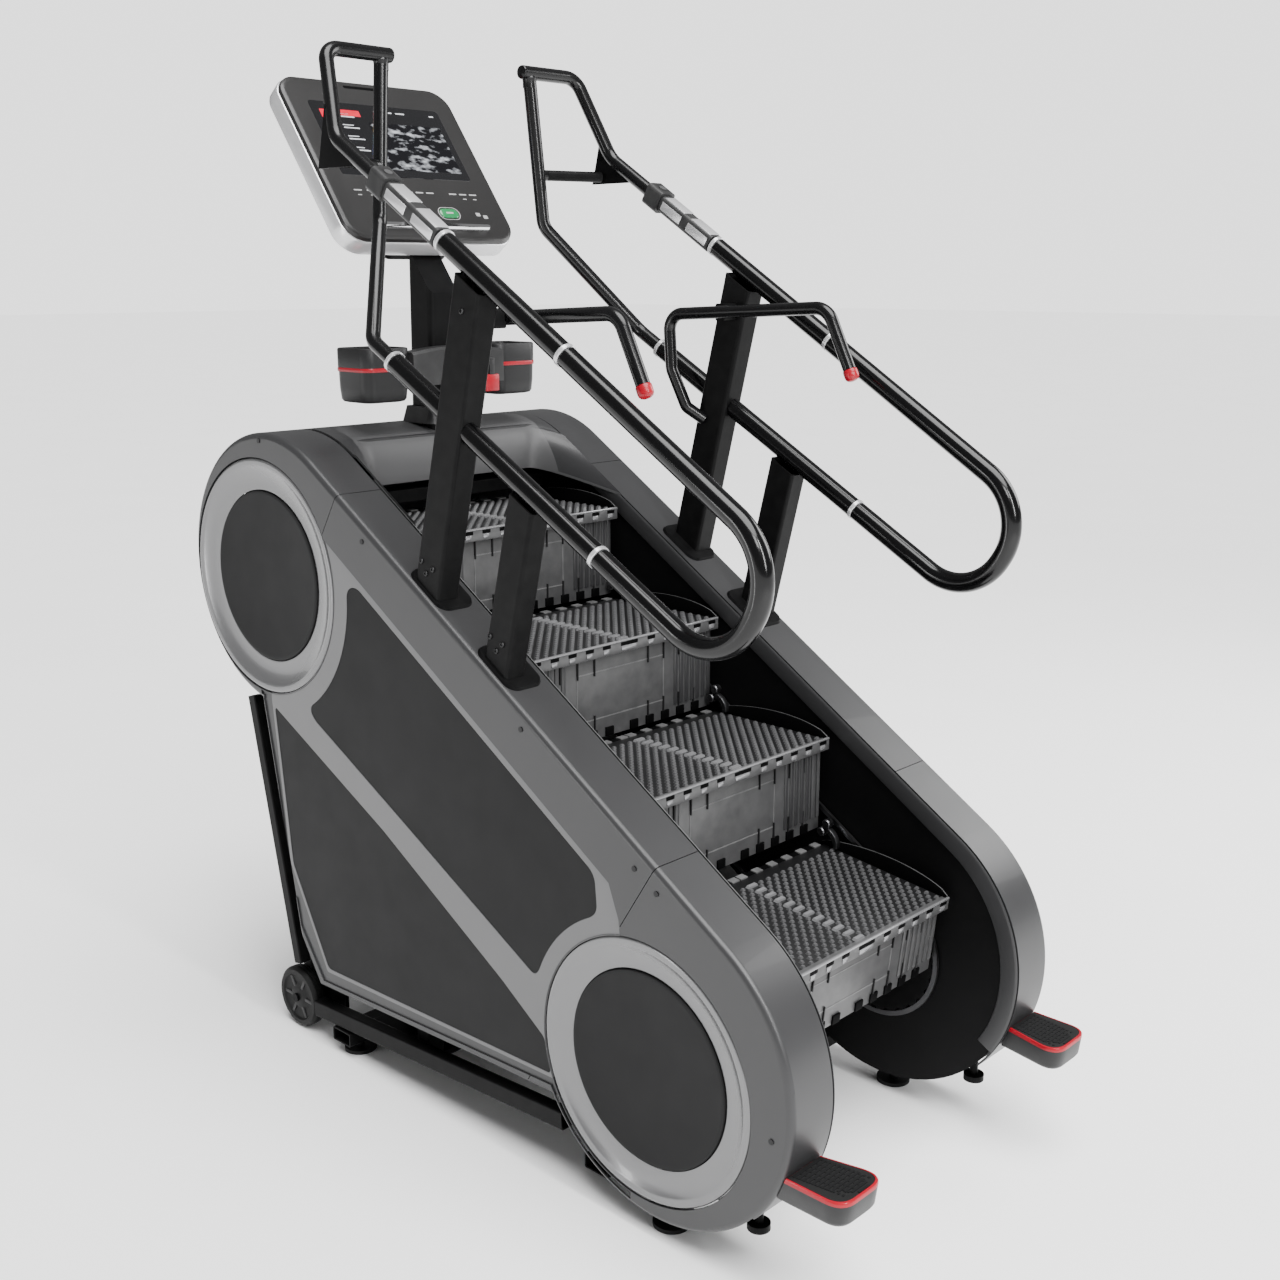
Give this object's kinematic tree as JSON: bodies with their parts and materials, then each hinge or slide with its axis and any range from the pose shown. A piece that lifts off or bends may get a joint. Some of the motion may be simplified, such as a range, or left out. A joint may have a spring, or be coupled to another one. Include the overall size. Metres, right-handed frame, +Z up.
{
  "type": "stair climber",
  "caption": "Revolving stair climber with side covers, looped hand rails, curved grips, a console on a mast, an accessory tray and a braked step chain.",
  "frame": {"origin": "on the floor, at the middle of the machine's footprint", "axes": "+X to the user's right, +Y the way the user climbs, +Z up"},
  "size_m": [0.7932, 1.748, 2.0415],
  "materials": {
    "cover": "satin",
    "hood_panel": "satin",
    "side_panel": "fine texture",
    "accent": "satin",
    "trim_silver": "satin silver",
    "frame_black": "textured powder coat",
    "inner_black": "matt",
    "tube_black": "satin powder coat",
    "grip_foam": "satin",
    "ring_silver": "brushed",
    "contact_grip": "brushed strips on dark plastic",
    "dark_plastic": "fine texture",
    "button_grey": "satin",
    "button_green": "gloss",
    "red_plastic": "satin",
    "pad_rubber": "ribbed",
    "screen": "dark glass over a lit display",
    "step": "studded",
    "steel": "oiled",
    "belt": "ribbed",
    "screw": "black oxide"
  },
  "bodies": {
    "frame": {"accent_trims": "accent", "base_frame": "frame_black", "brake_unit": "frame_black", "console_housing": "dark_plastic", "console_rim": "ring_silver", "cover_front_left": "cover", "cover_front_right": "cover", "cover_middle_left": "cover", "cover_middle_right": "cover", "cover_rear_left": "cover", "cover_rear_right": "cover", "cover_screws": "screw", "curved_grips": "tube_black", "disc_inserts": "side_panel", "disc_rings": "trim_silver", "drive_belt": "belt", "drive_chains": "steel", "foot_pads": "dark_plastic", "grip_caps": "red_plastic", "grip_clamps": "frame_black", "grip_sensors": "contact_grip", "hood": "cover", "hood_inner_panel": "hood_panel", "horn_braces": "frame_black", "inner_walls": "inner_black", "mast": "frame_black", "mast_collar": "inner_black", "pad_treads": "pad_rubber", "pad_trims": "red_plastic", "post_boots": "inner_black", "rail_foam": "grip_foam", "rail_left": "tube_black", "rail_pods": "dark_plastic", "rail_posts": "frame_black", "rail_right": "tube_black", "rail_rings": "ring_silver", "rear_panel": "cover", "screen": "screen", "side_panels_lower": "side_panel", "side_panels_upper": "side_panel", "tray": "dark_plastic", "tray_bands": "red_plastic"},
    "stairs": {"step_1": "step", "step_2": "step", "step_3": "step"},
    "front_step": {"step_0": "step"},
    "lower_drive": {"lower_shaft": "steel"},
    "upper_drive": {"upper_shaft": "steel"},
    "rotor": {"brake_rotor": "steel"},
    "returning_steps": {"return_steps": "step"},
    "wheel_left": {"transport_wheel_left": "pad_rubber"},
    "wheel_right": {"transport_wheel_right": "pad_rubber"},
    "foot_fl": {"foot_front_left": "pad_rubber"},
    "foot_fr": {"foot_front_right": "pad_rubber"},
    "foot_rl": {"foot_rear_left": "pad_rubber"},
    "foot_rr": {"foot_rear_right": "pad_rubber"},
    "left_pod_button": {"pod_button_left": "button_grey"},
    "right_pod_button": {"pod_button_right": "button_grey"},
    "start_key": {"start_button": "button_green"},
    "stop_bar": {"stop_paddle": "red_plastic"}
  },
  "joints": [
    {"name": "stairs_down", "type": "slide", "parent": "frame", "child": "stairs", "axis": [0, -0.8268, -0.5625], "range_m": [0, 0.178]},
    {"name": "front_step_turn", "type": "hinge", "parent": "frame", "child": "front_step", "pos_m": [0, -0.468, 0.315], "axis": [1, 0, 0], "range_deg": [0, 74.94]},
    {"name": "lower_drive_turn", "type": "hinge", "parent": "frame", "child": "lower_drive", "pos_m": [0, -0.468, 0.315], "axis": [1, 0, 0], "range_deg": [0, 74.94]},
    {"name": "upper_drive_turn", "type": "hinge", "parent": "frame", "child": "upper_drive", "pos_m": [0, 0.62, 1.017], "axis": [1, 0, 0], "range_deg": [0, 74.94]},
    {"name": "rotor_turn", "type": "hinge", "parent": "frame", "child": "rotor", "pos_m": [0, 0.33, 0.36], "axis": [1, 0, 0], "range_deg": [0, 319.54]},
    {"name": "return_up", "type": "slide", "parent": "frame", "child": "returning_steps", "axis": [0, 0.8403, 0.5422], "range_m": [0, 0.1785]},
    {"name": "wheel_left_turn", "type": "hinge", "parent": "frame", "child": "wheel_left", "pos_m": [-0.362, 0.606, 0.071], "axis": [1, 0, 0], "continuous": true},
    {"name": "wheel_right_turn", "type": "hinge", "parent": "frame", "child": "wheel_right", "pos_m": [0.362, 0.606, 0.071], "axis": [1, 0, 0], "continuous": true},
    {"name": "foot_front_left_screw", "type": "slide", "parent": "frame", "child": "foot_fl", "axis": [0, 0, 1], "range_m": [-0.015, 0]},
    {"name": "foot_front_right_screw", "type": "slide", "parent": "frame", "child": "foot_fr", "axis": [0, 0, 1], "range_m": [-0.015, 0]},
    {"name": "foot_rear_left_screw", "type": "slide", "parent": "frame", "child": "foot_rl", "axis": [0, 0, 1], "range_m": [-0.015, 0]},
    {"name": "foot_rear_right_screw", "type": "slide", "parent": "frame", "child": "foot_rr", "axis": [0, 0, 1], "range_m": [-0.015, 0]},
    {"name": "pod_button_left_press", "type": "slide", "parent": "frame", "child": "left_pod_button", "axis": [0, 0.5257, -0.8507], "range_m": [0, 0.0015], "stiffness_N_per_m": 400},
    {"name": "pod_button_right_press", "type": "slide", "parent": "frame", "child": "right_pod_button", "axis": [0, 0.5257, -0.8507], "range_m": [0, 0.0015], "stiffness_N_per_m": 400},
    {"name": "start_press", "type": "slide", "parent": "frame", "child": "start_key", "axis": [0, 0.8029, -0.5961], "range_m": [0, 0.0025], "stiffness_N_per_m": 400},
    {"name": "stop_press", "type": "slide", "parent": "frame", "child": "stop_bar", "axis": [0, 1, 0], "range_m": [0, 0.005], "stiffness_N_per_m": 800}
  ],
  "couplings": [
    {"joint": "front_step_turn", "follows": "stairs_down", "rad_per_m": 7.2993},
    {"joint": "lower_drive_turn", "follows": "stairs_down", "rad_per_m": 7.2993},
    {"joint": "upper_drive_turn", "follows": "stairs_down", "rad_per_m": 7.2993},
    {"joint": "rotor_turn", "follows": "stairs_down", "rad_per_m": 31.283},
    {"joint": "return_up", "follows": "stairs_down", "ratio": 1}
  ]
}
